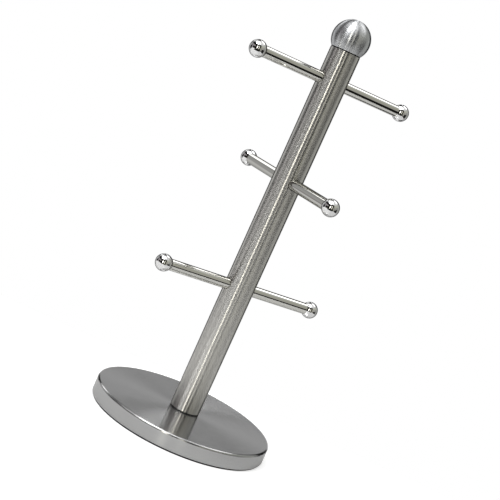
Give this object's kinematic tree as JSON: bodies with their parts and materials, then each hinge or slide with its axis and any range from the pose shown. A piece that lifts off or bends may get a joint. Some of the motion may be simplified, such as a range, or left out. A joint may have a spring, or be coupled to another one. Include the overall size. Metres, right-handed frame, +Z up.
{
  "type": "mug tree",
  "caption": "Free-standing stainless mug tree: a weighted round base, a turning post, cross rods with ball ends that hold mugs by their handles, and a ball finial.",
  "frame": {"origin": "centre of the base's underside, on the surface that the tree stands on", "axes": "+Z up along the post, +X along the upper and lower rods, +Y along the middle rod"},
  "size_m": [0.1598, 0.1598, 0.3602],
  "materials": {
    "cover_steel": "fine satin, bright rim",
    "post_steel": "brushed round the tube",
    "finial_steel": "satin, turned",
    "rod_chrome": "polished",
    "ball_chrome": "mirror polished",
    "black_nylon": "matte",
    "pad_foam": "fine closed-cell foam",
    "weight_iron": "as cast, dark",
    "plug_steel": "turned and blackened",
    "plated_steel": "bright zinc plate"
  },
  "bodies": {
    "base": {"base_cover": "cover_steel", "base_weight": "weight_iron", "base_pad": "pad_foam", "pivot_bush": "black_nylon"},
    "post": {"post_tube": "post_steel", "finial_ball": "finial_steel", "upper_rod": "rod_chrome", "middle_rod": "rod_chrome", "lower_rod": "rod_chrome", "upper_ball_left": "ball_chrome", "upper_ball_right": "ball_chrome", "middle_ball_front": "ball_chrome", "middle_ball_back": "ball_chrome", "lower_ball_left": "ball_chrome", "lower_ball_right": "ball_chrome", "foot_plug": "plug_steel", "top_plug": "plug_steel", "pivot_screw": "plated_steel", "spring_washer": "plated_steel", "flat_washer": "plated_steel", "finial_set_screw": "plated_steel"}
  },
  "joints": [
    {"name": "post_turn", "type": "hinge", "parent": "base", "child": "post", "pos_m": [0, 0, 0.0144], "axis": [0, 0, 1], "continuous": true}
  ]
}
